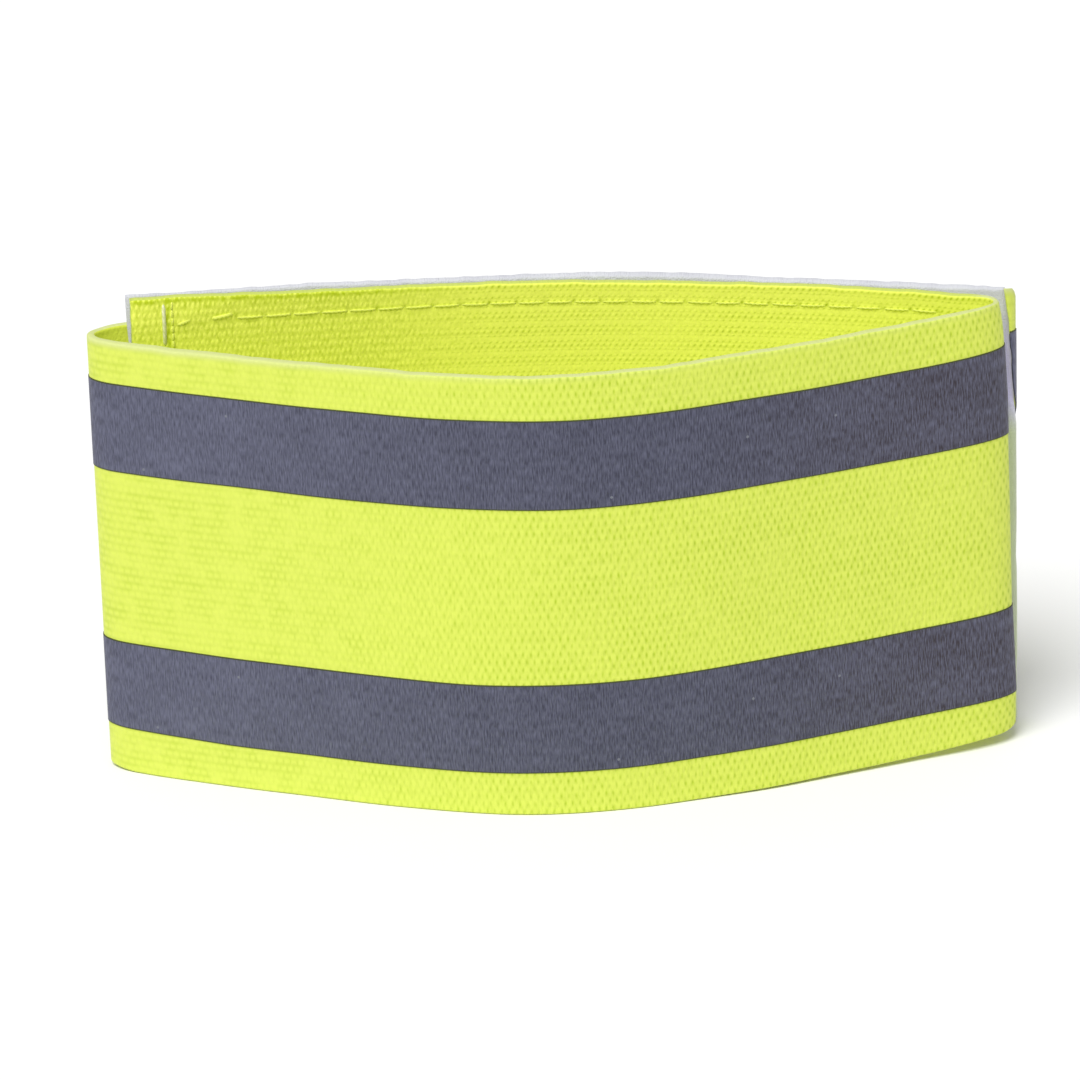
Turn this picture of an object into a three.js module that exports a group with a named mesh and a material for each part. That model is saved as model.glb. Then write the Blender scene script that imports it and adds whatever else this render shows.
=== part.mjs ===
// Reflective armband: one length of 50 mm elastic webbing wound one and a half times into a flat loop
// that stands on its lower edge. Two reflective film stripes run along its outer face, a loop tape is
// sewn to the outside of the inner layer and a hook tape to the inside of the outer layer.
// Millimetres, +Z up, +X along the length of the loop, +Y from the bowed front wall to the back wall.
// The origin is at the middle of the foot, on the surface that the armband stands on.
import * as THREE from "three";

// Webbing
const bandWidth = 50;
const bandThickness = 1.2;
const selvedgeRadius = 0.3;

// Reflective stripes, with their middles measured up from the lower edge
const stripeWidth = 10;
const stripeThickness = 0.2;
const stripes = [
  { name: "reflective_stripe_lower", middle: 10.1 },
  { name: "reflective_stripe_upper", middle: 40.2 },
];

// Fastening tapes
const loopTapeThickness = 1.2;
const loopTapeStandsUp = 0.15; // how far its edges stand above the webbing's
const hookTapeThickness = 0.9;
const hookTapeInset = 1.5; // how far its edges lie inside the webbing's
const tapeEdgeRadius = 0.2;

// Clearances between the layers
const filmGap = 0.1;
const tapeGap = 0.2;

// Middle line of the webbing seen from above, and how far its lower edge stands off the surface.
// The inner layer runs along the back, from the inner end to the fold at the right.
const innerLayer = [
  { place: "inner end", x: -44.7, y: 3.8, rise: 3.7 },
  { place: "back, at the left", x: -31.0, y: 6.1, rise: 3.3 },
  { place: "back, left of the crest", x: -14.0, y: 8.6, rise: 2.6 },
  { place: "back, crest", x: 7.0, y: 10.3, rise: 1.8 },
  { place: "back, right of the crest", x: 26.0, y: 9.0, rise: 1.25 },
  { place: "back, before the fold", x: 41.0, y: 6.3, rise: 0.95 },
];

// The single layer, from the fold along the bowed front wall and round the nose at the left.
const frontLoop = [
  { place: "into the fold", x: 45.0, y: 5.0, rise: 0.85 },
  { place: "fold, back side", x: 47.0, y: 4.0, rise: 0.85 },
  { place: "fold, crease", x: 47.8, y: 3.1, rise: 0.85 },
  { place: "fold, front side", x: 47.0, y: 1.75, rise: 0.85 },
  { place: "out of the fold", x: 44.6, y: 0.1, rise: 0.8 },
  { place: "front, right shoulder", x: 36.5, y: -3.05, rise: 0.5 },
  { place: "front, right flank", x: 19.5, y: -9.25, rise: 0.15 },
  { place: "front, right of the bow", x: 8.0, y: -12.4, rise: 0 },
  { place: "front, bow", x: -2.0, y: -13.4, rise: 0 },
  { place: "front, left of the bow", x: -11.0, y: -12.2, rise: 0 },
  { place: "front, left flank", x: -24.0, y: -8.0, rise: 0 },
  { place: "front, left shoulder", x: -39.5, y: -1.95, rise: 0 },
  { place: "into the nose", x: -45.2, y: 0.5, rise: 0 },
  { place: "nose, front side", x: -48.0, y: 2.0, rise: 0 },
  { place: "nose, tip", x: -49.2, y: 3.6, rise: 0 },
  { place: "nose, back side", x: -48.2, y: 5.3, rise: 0 },
  { place: "out of the nose", x: -46.6, y: 6.35, rise: 0 },
];

// The outer layer follows the inner one outside the tapes. It starts close to it and steps out to
// clear the hook tape, then wraps the corner at the right.
const stepOutAtNose = 3.1;
const outerEnd = [
  { place: "corner, back side", x: 47.35, y: 9.3, rise: 0 },
  { place: "corner", x: 48.95, y: 8.2, rise: 0 },
  { place: "corner, right side", x: 49.35, y: 6.6, rise: 0 },
  { place: "outer end", x: 48.85, y: 5.2, rise: 0 },
];

// The loop tape starts just past the inner end of the webbing. It leaves the webbing again before the
// fold and runs straight on past it.
const loopTapeStart = { place: "loop tape start", x: -45.2, y: 3.725, rise: 3.7 };
const loopTapeEnd = { place: "loop tape end", x: 49.05, y: 4.9, rise: 0.8 };

// How far a cut end lies back from the end of its line, at heights above the lower edge. The outer
// end is trimmed aslant, and the loop tape is tucked in where the outer end wraps round it.
const squareCut = [{ up: 0, back: 0 }];
const outerEndCut = [
  { up: 0, back: 4.0 },
  { up: 35.2, back: 3.3 },
  { up: 40, back: 2.7 },
  { up: 45.2, back: 1.4 },
  { up: 50, back: 0 },
];
const loopTapeCut = [
  { up: 0, back: 0 },
  { up: 30, back: 0 },
  { up: 38, back: 1.5 },
];
const cutReach = 9; // the length of strip over which a slanted cut draws the surface back

// The hook tape's stretch, counted in rows of the inner layer's table
const hookTapeFromRow = 2;
const hookTapeToRow = 5;

const stepsPerRow = 5; // stations between one row of a table and the next
const edgeSteps = 1; // pairs of facets across each rounded corner of a section

const halfThickness = bandThickness / 2;
const filmInside = halfThickness + filmGap;
const loopTapeInside = filmInside + stripeThickness + tapeGap;
const loopTapeOutside = loopTapeInside + loopTapeThickness;
const hookTapeInside = loopTapeOutside + tapeGap;
const hookTapeOutside = hookTapeInside + hookTapeThickness;
const stepOut = hookTapeOutside + tapeGap + halfThickness;

function lineThrough(rows) {
  const points = rows.map((row) => new THREE.Vector3(row.x, row.y, row.rise));
  const line = new THREE.CatmullRomCurve3(points, false, "centripetal");
  line.arcLengthDivisions = stepsPerRow * (rows.length - 1);
  return line;
}

// The level unit vector that points from the line to the outside of the loop, at a share of its length.
function outwardAt(line, share) {
  const along = line.getTangentAt(share);
  return new THREE.Vector3(-along.y, along.x, 0).normalize();
}

// The inner layer's rows moved outwards by a distance for each, and set on the surface.
function innerLayerMovedOut(distances) {
  const line = lineThrough([...innerLayer, frontLoop[0]]);
  const lengths = line.getLengths();
  return innerLayer.map((row, i) => {
    const share = lengths[i * stepsPerRow] / lengths.at(-1);
    const moved = outwardAt(line, share).multiplyScalar(distances[i]);
    return { place: "outside " + row.place, x: row.x + moved.x, y: row.y + moved.y, rise: 0 };
  });
}

// A strip's section with rounded edges, as corners in order round it: out from the line, and up.
// It also has a corner on each face at every height that the cut names.
function stripSection({ inside, outside, low, high, radius, cut }) {
  const between = cut.map((row) => row.up).filter((up) => up > low + radius && up < high - radius);
  const outline = new THREE.Path();
  const roundCorner = (out, up, start) => outline.absarc(out, up, radius, start, start + Math.PI / 2);
  roundCorner(outside - radius, low + radius, -Math.PI / 2);
  between.forEach((up) => outline.lineTo(outside, up));
  roundCorner(outside - radius, high - radius, 0);
  roundCorner(inside + radius, high - radius, Math.PI / 2);
  between.toReversed().forEach((up) => outline.lineTo(inside, up));
  roundCorner(inside + radius, low + radius, Math.PI);
  return outline.getPoints(edgeSteps).map((corner) => ({ out: corner.x, up: corner.y }));
}

// How far the cut lies back at a height, between the rows of its table.
function cutBackAt(cut, up) {
  const above = cut.findIndex((row) => row.up > up);
  if (above < 0) return cut.at(-1).back;
  if (above === 0) return cut[0].back;
  const a = cut[above - 1];
  const b = cut[above];
  return THREE.MathUtils.mapLinear(up, a.up, b.up, a.back, b.back);
}

// The closed body that a section sweeps along a line, standing upright all the way, from one row of
// the line's table to another.
function sweptStrip(line, strip, fromRow = 0, toRow = line.points.length - 1) {
  const section = stripSection(strip);
  const lengths = line.getLengths();
  const endLength = lengths[toRow * stepsPerRow];
  const steps = (toRow - fromRow) * stepsPerRow;
  const position = [];
  for (let i = 0; i <= steps; i++) {
    const length = lengths[fromRow * stepsPerRow + i];
    const nearEnd = Math.max(0, 1 - (endLength - length) / cutReach);
    for (const { out, up } of section) {
      const share = (length - nearEnd * cutBackAt(strip.cut, up)) / lengths.at(-1);
      const corner = line.getPointAt(share).addScaledVector(outwardAt(line, share), out);
      position.push(corner.x, corner.y, Math.max(corner.z, 0) + up);
    }
  }
  const around = section.length;
  const index = [];
  for (let i = 0; i < steps; i++) {
    for (let j = 0; j < around; j++) {
      const a = i * around + j;
      const b = i * around + ((j + 1) % around);
      index.push(a, b, a + around, b, b + around, a + around);
    }
  }
  // Each end is closed level by level, from the outside corner to the inside corner at its height.
  const last = steps * around;
  for (let j = 0; j < around / 2 - 1; j++) {
    const [a, b, c, d] = [j, j + 1, around - 2 - j, around - 1 - j];
    index.push(a, c, b, a, d, c);
    index.push(last + a, last + b, last + c, last + a, last + c, last + d);
  }
  const geometry = new THREE.BufferGeometry();
  geometry.setAttribute("position", new THREE.Float32BufferAttribute(position, 3));
  geometry.setIndex(index);
  geometry.computeVertexNormals();
  return geometry;
}

function namedMesh(name, geometry, finish) {
  const mesh = new THREE.Mesh(geometry, new THREE.MeshStandardMaterial(finish));
  mesh.name = name;
  return mesh;
}

const webbingFinish = { color: 0xdcee52, roughness: 0.85, metalness: 0 };
const filmFinish = { color: 0x66667a, roughness: 0.45, metalness: 0.3 };
const tapeFinish = { color: 0xd8d8d4, roughness: 0.95, metalness: 0 };

const firstStep = (stepOutAtNose + stepOut) / 2;
const outerLayer = innerLayerMovedOut([stepOutAtNose, firstStep, stepOut, stepOut, stepOut, stepOut]);
const bandLine = lineThrough([...innerLayer, ...frontLoop, ...outerLayer, ...outerEnd]);

const strips = [
  namedMesh(
    "elastic_band",
    sweptStrip(bandLine, {
      inside: -halfThickness,
      outside: halfThickness,
      low: 0,
      high: bandWidth,
      radius: selvedgeRadius,
      cut: outerEndCut,
    }),
    webbingFinish,
  ),
];

for (const { name, middle } of stripes) {
  const film = sweptStrip(bandLine, {
    inside: filmInside,
    outside: filmInside + stripeThickness,
    low: middle - stripeWidth / 2,
    high: middle + stripeWidth / 2,
    radius: 0,
    cut: outerEndCut,
  });
  strips.push(namedMesh(name, film, filmFinish));
}

const loopTapeLine = lineThrough([loopTapeStart, ...innerLayer.slice(1), loopTapeEnd]);
const loopTape = sweptStrip(loopTapeLine, {
  inside: loopTapeInside,
  outside: loopTapeOutside,
  low: loopTapeStandsUp,
  high: bandWidth + loopTapeStandsUp,
  radius: tapeEdgeRadius,
  cut: loopTapeCut,
});
strips.push(namedMesh("loop_tape", loopTape, tapeFinish));

const hookTapeLine = lineThrough([...innerLayer, frontLoop[0]].map((row) => ({ ...row, rise: 0 })));
const hookTape = sweptStrip(
  hookTapeLine,
  {
    inside: hookTapeInside,
    outside: hookTapeOutside,
    low: hookTapeInset,
    high: bandWidth - hookTapeInset,
    radius: tapeEdgeRadius,
    cut: squareCut,
  },
  hookTapeFromRow,
  hookTapeToRow,
);
strips.push(namedMesh("hook_tape", hookTape, tapeFinish));

// The tables are drawn from about the middle of the loop; its box is centred on the origin exactly.
const armband = new THREE.Group();
const wound = new THREE.Group();
wound.add(...strips);
armband.add(wound);
const box = new THREE.Box3().setFromObject(wound);
wound.position.set(-(box.min.x + box.max.x) / 2, -(box.min.y + box.max.y) / 2, 0);

export default armband;
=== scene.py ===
# Looks of the reflective armband: a wide elastic band wound one and a half times into a flat loop.
# Lengths in the dictionaries are in millimetres, in the frame of the solids.
import bpy
import numpy as np
from mathutils import Matrix


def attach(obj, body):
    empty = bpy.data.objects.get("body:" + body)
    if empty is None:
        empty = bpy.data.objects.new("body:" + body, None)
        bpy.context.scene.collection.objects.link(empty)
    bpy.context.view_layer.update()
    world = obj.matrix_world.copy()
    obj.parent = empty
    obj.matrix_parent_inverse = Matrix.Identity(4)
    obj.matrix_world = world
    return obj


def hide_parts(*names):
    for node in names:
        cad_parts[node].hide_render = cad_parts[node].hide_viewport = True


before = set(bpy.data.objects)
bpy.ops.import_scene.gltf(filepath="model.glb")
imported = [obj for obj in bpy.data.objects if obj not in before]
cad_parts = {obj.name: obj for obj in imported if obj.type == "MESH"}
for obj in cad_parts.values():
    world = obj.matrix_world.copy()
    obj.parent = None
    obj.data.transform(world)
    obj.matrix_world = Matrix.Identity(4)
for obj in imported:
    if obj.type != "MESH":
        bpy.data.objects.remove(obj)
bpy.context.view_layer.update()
mm = 0.001

# The middle line of the webbing
route = {
    "shift": (-0.0773, -0.5500, 0.0),  # from the middle that the rows are drawn from to the origin
    # x, y, and how far the lower edge stands up
    "innerLayer": [
        (-44.7, 3.8, 3.7),  # inner end
        (-31.0, 6.1, 3.3),
        (-14.0, 8.6, 2.6),
        (7.0, 10.3, 1.8),  # crest of the back
        (26.0, 9.0, 1.25),
        (41.0, 6.3, 0.95),
    ],
    "frontLoop": [
        (45.0, 5.0, 0.85),
        (47.0, 4.0, 0.85),
        (47.8, 3.1, 0.85),  # fold at the right
        (47.0, 1.75, 0.85),
        (44.6, 0.1, 0.8),
        (36.5, -3.05, 0.5),
        (19.5, -9.25, 0.15),
        (8.0, -12.4, 0.0),
        (-2.0, -13.4, 0.0),  # bow of the front
        (-11.0, -12.2, 0.0),
        (-24.0, -8.0, 0.0),
        (-39.5, -1.95, 0.0),
        (-45.2, 0.5, 0.0),
        (-48.0, 2.0, 0.0),
        (-49.2, 3.6, 0.0),  # nose at the left
        (-48.2, 5.3, 0.0),
        (-46.6, 6.35, 0.0),
    ],
    "foldRow": 2,
    "noseRow": 14,
    "stepOut": (3.1, 3.65, 4.2, 4.2, 4.2, 4.2),  # from each inner row out to the outer layer
    "outerEnd": [
        (47.25, 9.3, 0.0),
        (48.72, 8.35, 0.0),
        (49.12, 6.95, 0.0),
        (49.08, 5.85, 0.0),
        (48.75, 5.15, 0.0),
        (48.0, 4.83, 0.0),  # outer end
    ],
    "loopTapeStart": (-45.2, 3.725, 3.7),
    "loopTapeEnd": (49.3, 4.5, 0.8),
    "pointsPerRow": 80,
    "evenStep": 0.1,
    "softening": 0.5,  # the reach over which bends are evened out
    "window": 4,  # how many of these reaches a mean takes in
}


# The line at even steps, each point the bell-weighted mean of its neighbours. The ends are carried
# on straight first, so that they stay in place.
def evenLine(dense, lengths):
    step = route["evenStep"]
    s = np.arange(0, lengths[-1] + step / 2, step)
    even = np.stack([np.interp(s, lengths, dense[:, k]) for k in range(3)], axis=1)
    reach = int(route["window"] * route["softening"] / step)
    before = even[0] - (even[1] - even[0]) * np.arange(reach, 0, -1)[:, None]
    after = even[-1] + (even[-1] - even[-2]) * np.arange(1, reach + 1)[:, None]
    weight = bell(np.arange(-reach, reach + 1) * step, 0, route["softening"] * np.sqrt(2))
    padded = np.vstack([before, even, after])
    weight = weight / weight.sum()
    even = np.stack([np.convolve(padded[:, k], weight, "valid") for k in range(3)], axis=1)
    tangent = np.gradient(even, axis=0)
    outward = np.stack([-tangent[:, 1], tangent[:, 0]], axis=1)
    outward /= np.linalg.norm(outward, axis=1)[:, None]
    return {"s": s, "points": even, "outward": outward, "length": float(s[-1])}


# A smooth line through rows: a cubic between two rows, whose slope at a row comes from the steps to
# its neighbours, each weighed by one over the square root of its length.
def smoothLine(rows):
    p = np.array(rows, float) + route["shift"]
    p = np.vstack([2 * p[0] - p[1], p, 2 * p[-1] - p[-2]])
    a, b, c, d = p[:-3], p[1:-2], p[2:-1], p[3:]
    g, h, k = (np.sqrt(np.linalg.norm(v - u, axis=1))[:, None] for u, v in ((a, b), (b, c), (c, d)))
    leave = ((b - a) / g - (c - a) / (g + h) + (c - b) / h) * h
    reach = ((c - b) / h - (d - b) / (h + k) + (d - c) / k) * h
    t = np.linspace(0, 1, route["pointsPerRow"], endpoint=False)[None, :, None]
    b, c, leave, reach = (v[:, None, :] for v in (b, c, leave, reach))
    square, cube = 3 * (c - b) - 2 * leave - reach, 2 * (b - c) + leave + reach
    dense = b + leave * t + square * t**2 + cube * t**3
    dense = np.vstack([dense.reshape(-1, 3), p[-2]])
    steps = np.linalg.norm(np.diff(dense, axis=0), axis=1)
    return evenLine(dense, np.concatenate([[0], np.cumsum(steps)]))


# A place on a line: the line's point at length s, moved level to its outside by out, and up by up.
def placeOn(line, s, out, up):
    s, out, up = np.broadcast_arrays(s, out, up)
    x, y, rise = (np.interp(s, line["s"], line["points"][:, k]) for k in range(3))
    nx, ny = (np.interp(s, line["s"], line["outward"][:, k]) for k in range(2))
    return np.stack([x + nx * out, y + ny * out, np.maximum(rise, 0) + up], axis=-1)


# The length along a line, past a given one, at which it passes nearest to a row.
def lengthAt(line, row, past=0.0):
    away = np.linalg.norm(line["points"][:, :2] - row[:2] - np.array(route["shift"][:2]), axis=1)
    return float(line["s"][np.where(line["s"] >= past, away, np.inf).argmin()])


# A smooth step from 0 to 1 as a value goes from low to high.
def ramp(value, low, high):
    t = np.clip((value - low) / (high - low), 0, 1)
    return t * t * (3 - 2 * t)


# A bell: 1 at a place, and e to the minus square of the distance over the width away from it.
def bell(value, place, width):
    return np.exp(-(((value - place) / width) ** 2))


waves = {
    "count": 6,
    "turn": 0.6,  # how far a wave may turn from the line, in radians
    "highest": 3.5,  # about as high as their sum comes
}


# Gentle seeded unevenness up to about a height: a sum of sine waves across s and up.
def uneven(s, up, height, seed, longest, shortest):
    chance = np.random.default_rng(seed)
    total = 0
    for wave in np.geomspace(longest, shortest, waves["count"]):
        turn, phase = chance.uniform(-waves["turn"], waves["turn"]), chance.uniform(0, 2 * np.pi)
        total = total + np.sin(2 * np.pi * (s * np.cos(turn) + up * np.sin(turn)) / wave + phase)
    return height * total / waves["highest"]


innerRows, frontRows = route["innerLayer"], route["frontLoop"]
guideLine = smoothLine([*innerRows, frontRows[0]])
rowLengths = np.array([lengthAt(guideLine, np.array(row)) for row in innerRows])
outerRows = placeOn(guideLine, rowLengths, np.array(route["stepOut"]), 0) - route["shift"]
outerRows[:, 2] = 0
bandLine = smoothLine([*innerRows, *frontRows, *outerRows, *route["outerEnd"]])
loopTapeLine = smoothLine([route["loopTapeStart"], *innerRows[1:], route["loopTapeEnd"]])
foldAt = lengthAt(bandLine, np.array(frontRows[route["foldRow"]]))
noseAt = lengthAt(bandLine, np.array(frontRows[route["noseRow"]]))
landmarks = {"fold": foldAt, "nose": noseAt, "end": bandLine["length"]}
print("line: length", round(bandLine["length"], 1), "fold", round(foldAt, 1), "nose", round(noseAt, 1))


# A sum of bells along the band: each stands at or past a landmark, with a height and a width.
def bellsAlong(s, rows):
    return sum(height * bell(s, landmarks[mark] + past, width) for mark, past, height, width in rows)


# A smooth step along the band from 0 to 1, between two lengths past a landmark.
def rampPast(s, mark, low, high):
    return ramp(s, landmarks[mark] + low, landmarks[mark] + high)


edgeRoundness = 0.7  # 1 is an ellipse, and less is fuller


# A strip's section as a ring: up its outer side, then down its inner side at the same heights, with
# both edges rounded like a flattened circle. Gives out and up round the ring.
def stripRing(strip, low, high):
    inside, outside, edge, edgeSteps = (strip[key] for key in ("inside", "outside", "edge", "edgeSteps"))
    turn = (np.arange(edgeSteps) + 0.5) / edgeSteps * np.pi / 2
    middle, half = (inside + outside) / 2, (outside - inside) / 2
    bulge, drop = half * np.sin(turn) ** edgeRoundness, edge * np.cos(turn) ** edgeRoundness
    face = np.linspace(low + edge, high - edge, strip["faceRows"])
    width = np.concatenate([bulge, np.full(strip["faceRows"], half), bulge[::-1]])
    height = np.concatenate([low + edge - drop, face, high - edge + drop[::-1]])
    out = np.concatenate([middle + width, middle - width[::-1]])
    return out, np.concatenate([height, height[::-1]])


def addObject(name, data):
    thing = bpy.data.objects.new(name, data)
    bpy.context.scene.collection.objects.link(thing)
    return thing


# A mesh from arrays of places in mm: its faces, a map of two numbers for each vertex, and a material
# number for each face.
def makeMesh(name, places, faces, mapping, materials, slots=0):
    mesh = bpy.data.meshes.new(name)
    mesh.from_pydata((places.reshape(-1, 3) * mm).tolist(), [], faces)
    layer = mesh.uv_layers.new(name="flatCloth")
    corners = np.empty(len(mesh.loops), np.int32)
    mesh.loops.foreach_get("vertex_index", corners)
    layer.data.foreach_set("uv", mapping.reshape(-1, 2)[corners].astype(np.float32).ravel())
    for material in materials:
        mesh.materials.append(material)
    mesh.polygons.foreach_set("material_index", np.broadcast_to(slots, len(faces)).astype(np.int32))
    mesh.shade_smooth()
    piece = addObject(name, mesh)
    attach(piece, "root")
    return piece


# A closed strip: its ring is carried along s by a place function, and each end is closed by quads
# from the outer side to the inner side. The map is s, and the height above low. With three materials
# the outer side and the ends have the first, the inner side the second, the tops of the edges the third.
def stripPiece(name, strip, low, high, s, place, materials):
    out, up = stripRing(strip, low, high)
    around, along, side = len(out), len(s), len(out) // 2
    grid = place(s[:, None], out[None, :], up[None, :])
    i, j = np.meshgrid(np.arange(along - 1), np.arange(around), indexing="ij")
    a, b = i * around + j, i * around + (j + 1) % around
    walls = np.stack([a, b, b + around, a + around], axis=-1).reshape(-1, 4)
    k = np.arange(side - 1)
    first = np.stack([k, around - 1 - k, around - 2 - k, k + 1], axis=1)
    last = np.stack([k, k + 1, around - 2 - k, around - 1 - k], axis=1) + (along - 1) * around
    rim = (strip["edgeSteps"] + 1) // 2
    part = np.full(around, 2)
    part[rim - 1 : side - rim] = 0
    part[side + rim - 1 : around - rim] = 1
    slots = np.concatenate([np.tile(part, along - 1), np.zeros(2 * (side - 1), int)])
    mapping = np.stack(np.broadcast_arrays(s[:, None], up[None, :] - low), axis=-1)
    faces = np.vstack([walls, first, last]).tolist()
    print("strip:", name, len(faces), "faces")
    return makeMesh(name, grid, faces, mapping, materials, np.minimum(slots, len(materials) - 1))


# How far back a strip is cut: its outer end by a table's value for the height, and both ends by an
# uneven fray.
def cutBack(strip, s, up, fromEnd):
    slant = np.interp(up, *strip["cut"]) * np.clip(1 - fromEnd / strip["cutReach"], 0, 1)
    nearEnds = ramp(fromEnd, *strip["frayAtEnd"]) - ramp(s, *strip["frayAtStart"])
    return slant + uneven(up, s * 0, *strip["fray"]) * nearEnds


def join(value, socket):
    socket.id_data.links.new(value, socket)


# Adds a node to the tree of the values that it joins, sets its fields, and joins or sets its inputs.
def addNode(kind, inputs, **fields):
    tree = next(value.id_data for value in inputs.values() if isinstance(value, bpy.types.NodeSocket))
    node = tree.nodes.new(kind)
    for name, value in fields.items():
        setattr(node, name, value)
    for key, value in inputs.items():
        if isinstance(value, bpy.types.NodeSocket):
            join(value, node.inputs[key])
        else:
            node.inputs[key].default_value = value
    return node


def calc(operation, *values, clamp=False):
    inputs = dict(enumerate(values))
    return addNode("ShaderNodeMath", inputs, operation=operation, use_clamp=clamp).outputs[0]


def times(a, b):
    return calc("MULTIPLY", a, b)


def minus(a, b, clamp=False):
    return calc("SUBTRACT", a, b, clamp=clamp)


# In nodes, a times b plus c.
def timesPlus(a, b, c, clamp=False):
    return calc("MULTIPLY_ADD", a, b, c, clamp=clamp)


# In nodes, a value that goes from low to high as a share goes from 0 to 1.
def between(share, low, high):
    return timesPlus(share, high - low, low)


# In nodes, a value less the floor of it, less a half: the way from the middle of its cell.
def fromMiddle(value):
    return minus(calc("FRACT", value), 0.5)


# In nodes, a bell: e to the minus square of a value over a width.
def bellNode(value, width):
    t = calc("DIVIDE", value, width)
    return calc("EXPONENT", times(times(t, t), -1.0))


def blendColours(amount, a, b):
    return addNode("ShaderNodeMix", {0: amount, 6: a, 7: b}, data_type="RGBA").outputs[2]


def noiseOn(place, scale, detail=3.0):
    inputs = {"Vector": place, "Scale": scale, "Detail": detail}
    return addNode("ShaderNodeTexNoise", inputs, noise_dimensions="2D").outputs["Fac"]


# In nodes, soft patches from 0 to 1: noise times a gain, plus an offset.
def patches(place, scale, gain, offset):
    return timesPlus(noiseOn(place, scale), gain, offset, clamp=True)


def splitPlace(place):
    return addNode("ShaderNodeSeparateXYZ", {0: place}).outputs


# In nodes, a smooth step from 0 to 1 as the length along the cloth goes from low to high.
def stepAlong(place, low, high):
    inputs = {"Value": splitPlace(place)["X"], "From Min": low, "From Max": high}
    return addNode("ShaderNodeMapRange", inputs, interpolation_type="SMOOTHSTEP").outputs["Result"]


# The same step between two lengths past a landmark.
def stepPast(place, mark, low, high):
    return stepAlong(place, landmarks[mark] + low, landmarks[mark] + high)


# A node group that reads Place and the given numbers, and puts out the named values.
def newGroup(name, inputs, outputs):
    tree = bpy.data.node_groups.new(name, "ShaderNodeTree")
    tree.interface.new_socket(name="Place", in_out="INPUT", socket_type="NodeSocketVector")
    for label, value in inputs.items():
        socket = tree.interface.new_socket(name=label, in_out="INPUT", socket_type="NodeSocketFloat")
        socket.default_value = value
    for label in outputs:
        tree.interface.new_socket(name=label, in_out="OUTPUT", socket_type="NodeSocketFloat")
    return tree, tree.nodes.new("NodeGroupInput").outputs, tree.nodes.new("NodeGroupOutput").inputs


def useGroup(group, place, values):
    return addNode("ShaderNodeGroup", {"Place": place, **values}, node_tree=group).outputs


wovenRows = {
    "wanderScale": 0.9,
    "rowWander": 0.4,  # how much a row wanders, as a share of what its cells do
    "grooveWidth": 0.28,  # share of a row
    "dotDepth": 0.7,
    "grooveDepth": 0.5,
}


# Woven rows: each row of cells is shifted by half a cell from the last. A dot is a bell at the sides
# of a cell, a groove is a bell between two rows, and the height is low at both.
def makeWeaveGroup():
    given = {"PitchAlong": 0.8, "PitchUp": 0.85, "Lean": 0.0, "Loose": 0.3, "DotWide": 0.13, "DotTall": 0.24}
    tree, given, result = newGroup("wovenRows", given, ["Height", "Dots", "Grooves"])
    x, y, _ = splitPlace(given["Place"])
    wander = minus(noiseOn(given["Place"], wovenRows["wanderScale"], 1.0), 0.5)
    rows = calc("DIVIDE", y, given["PitchUp"])
    rows = timesPlus(wander, times(given["Loose"], wovenRows["rowWander"]), rows)
    odd = calc("MODULO", calc("FLOOR", rows), 2.0)
    fromRow = fromMiddle(rows)
    columns = calc("DIVIDE", x, given["PitchAlong"])
    columns = timesPlus(odd, 0.5, columns)
    columns = timesPlus(fromRow, given["Lean"], columns)
    columns = timesPlus(wander, given["Loose"], columns)
    fromSide = minus(0.5, calc("ABSOLUTE", fromMiddle(columns)))
    dots = times(bellNode(fromSide, given["DotWide"]), bellNode(fromRow, given["DotTall"]))
    fromGroove = minus(0.5, calc("ABSOLUTE", fromRow))
    grooves = bellNode(fromGroove, wovenRows["grooveWidth"])
    height = timesPlus(grooves, -wovenRows["grooveDepth"], 1.0)
    height = timesPlus(dots, -wovenRows["dotDepth"], height)
    for label, value in {"Height": height, "Dots": dots, "Grooves": grooves}.items():
        join(value, result[label])
    return tree


# In nodes, ribs: a half sine over a share of each pitch, moved by an offset, and a mask, its root,
# that is near 1 all over the rib.
def clothRibs(y, pitch, share, offset):
    count = calc("ADD", calc("DIVIDE", y, pitch), offset)
    part = calc("DIVIDE", calc("FRACT", count), share)
    height = calc("MAXIMUM", calc("SINE", times(calc("MINIMUM", part, 1.0), np.pi)), 0.0)
    return height, calc("POWER", height, 0.5)


# Fine strokes: noise that is drawn out up the cloth.
def makeStrokeGroup():
    tree, given, result = newGroup("fineStrokes", {"PerAlong": 2.5, "PerUp": 0.7}, ["Value"])
    x, y, _ = splitPlace(given["Place"])
    x, y = times(x, given["PerAlong"]), times(y, given["PerUp"])
    drawn = addNode("ShaderNodeCombineXYZ", {0: x, 1: y}).outputs[0]
    join(noiseOn(drawn, 1.0, 2.0), result["Value"])
    return tree


weaveGroup, strokeGroup = makeWeaveGroup(), makeStrokeGroup()
bumpStrength = 0.8


# A material whose constant values stand on its shader's own sockets.
def newMaterial(name, **sockets):
    material = bpy.data.materials.new(name)
    material.use_nodes = True
    shader = material.node_tree.nodes["Principled BSDF"]
    for label, value in sockets.items():
        shader.inputs[label.replace("_", " ")].default_value = value
    return material, shader


# A material for cloth, its shader, and the place on the flat cloth.
def newCloth(name, roughness, **sockets):
    material, shader = newMaterial(name, Roughness=roughness, **sockets)
    flat = material.node_tree.nodes.new("ShaderNodeUVMap")
    flat.uv_map = "flatCloth"
    return material, shader, flat.outputs[0]


def finishMaterial(shader, colour, height, depth):
    bump = addNode("ShaderNodeBump", {"Strength": bumpStrength, "Distance": depth * mm, "Height": height})
    join(colour, shader.inputs["Base Color"])
    join(bump.outputs[0], shader.inputs["Normal"])


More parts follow.
